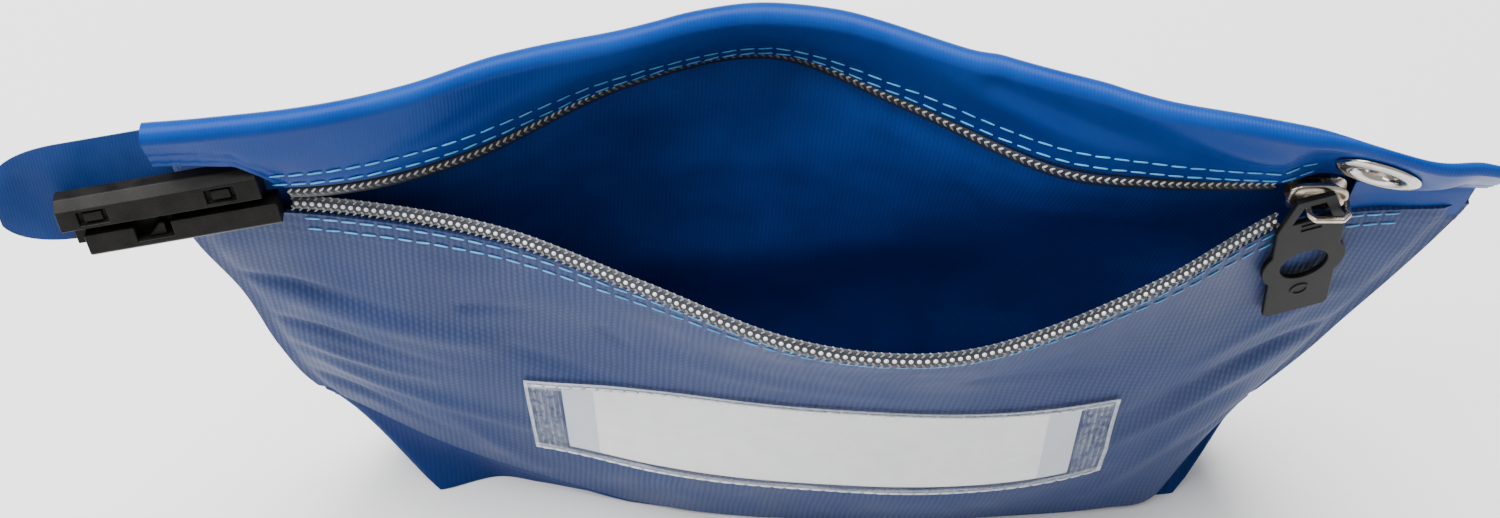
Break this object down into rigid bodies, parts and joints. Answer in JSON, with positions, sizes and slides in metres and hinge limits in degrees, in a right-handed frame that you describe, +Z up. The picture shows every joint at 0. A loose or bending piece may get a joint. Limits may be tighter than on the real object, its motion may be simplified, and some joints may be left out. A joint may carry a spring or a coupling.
{
  "type": "cash deposit bag",
  "caption": "Blue coated-fabric zipped pouch standing on a folded base, with a label window, an eyelet and a seal housing that takes the zip puller.",
  "frame": {"origin": "on the surface the bag stands on, under the middle of the zip", "axes": "+X along the zip towards the eyelet, +Y towards the back, +Z up"},
  "size_m": [0.4033, 0.1008, 0.2074],
  "materials": {
    "coated_fabric": "matt coated weave",
    "band_fabric": "smooth coated weave",
    "zip_tape": "woven",
    "zip_coil": "satin monofilament",
    "thread": "twisted thread",
    "label_thread": "twisted thread",
    "clear_film": "clear flexible film",
    "card": "matt card",
    "nickel": "polished nickel plate",
    "slider_metal": "black nickel plate",
    "moulded_plastic": "satin moulded"
  },
  "bodies": {
    "bag": {"front_panel": "coated_fabric", "back_panel": "coated_fabric", "base_gusset": "coated_fabric", "top_band": "band_fabric", "tail_tab": "band_fabric", "zip_end_patch": "band_fabric", "zip_tape_front": "zip_tape", "zip_tape_rear": "zip_tape", "zip_coil_front": "zip_coil", "zip_coil_rear": "zip_coil", "zip_bottom_stop": "nickel", "front_hem_thread": "thread", "band_hem_thread": "thread", "side_seam_thread": "thread", "label_window": "clear_film", "label_card": "card", "label_thread": "label_thread", "eyelet_flange": "nickel", "eyelet_washer": "nickel", "housing_base": "moulded_plastic", "housing_cover": "moulded_plastic", "housing_latch": "moulded_plastic"},
    "slider": {"slider_body": "slider_metal", "slider_bail": "slider_metal"},
    "puller": {"puller_tag": "moulded_plastic"}
  },
  "joints": [
    {"name": "zip_slide", "type": "slide", "parent": "bag", "child": "slider", "axis": [-1, 0, 0], "range_m": [0, 0.268], "deforming": ["front_panel", "back_panel", "base_gusset", "top_band", "zip_end_patch", "zip_tape_front", "zip_tape_rear", "zip_coil_front", "zip_coil_rear", "front_hem_thread", "band_hem_thread", "side_seam_thread", "label_window", "label_card", "label_thread"]},
    {"name": "puller_lift", "type": "hinge", "parent": "slider", "child": "puller", "pos_m": [0.14, -0.009, 0.1709], "axis": [-1, 0, 0], "range_deg": [0, 25]}
  ]
}
